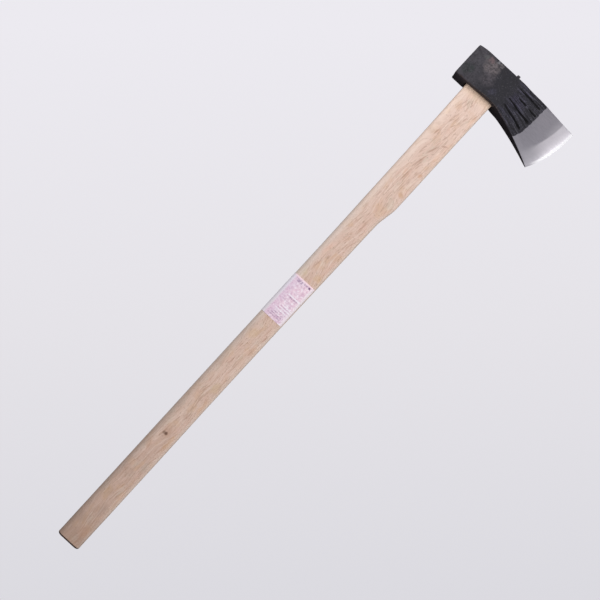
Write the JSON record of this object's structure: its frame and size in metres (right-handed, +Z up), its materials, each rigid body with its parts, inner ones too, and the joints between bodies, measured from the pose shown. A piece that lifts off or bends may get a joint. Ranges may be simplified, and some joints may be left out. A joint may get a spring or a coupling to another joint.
{
  "type": "splitting axe",
  "caption": "Heavy wedge-shaped splitting axe head with a square poll, on a long straight wooden handle held by wedges, with a paper label on the grip.",
  "frame": {"origin": "middle of the axe's box, on the surface that it lies on", "axes": "+Y along the handle from butt to head, +X from the poll to the cutting edge, +Z up out of the cheek that faces up"},
  "size_m": [0.1814, 0.9034, 0.0517],
  "materials": {
    "forged_black": "black forge scale with brown and violet patches, ground grey towards the edge",
    "ground_steel": "ground bright across the edge, with fine parallel scratches",
    "oak": "pale oak, planed and sanded, unvarnished, with pores along the grain and one small knot",
    "wedge_wood": "darker hardwood, hammered end grain",
    "wedge_steel": "dark rolled steel with a hammered, slightly rusty top",
    "label_paper": "thin matt paper with a pale pink and lilac print and no lettering"
  },
  "bodies": {
    "root": {"head_body": "forged_black", "cutting_steel": "ground_steel", "handle": "oak", "wooden_wedge": "wedge_wood", "steel_wedge_front": "wedge_steel", "steel_wedge_cross": "wedge_steel", "paper_label": "label_paper"}
  },
  "joints": []
}
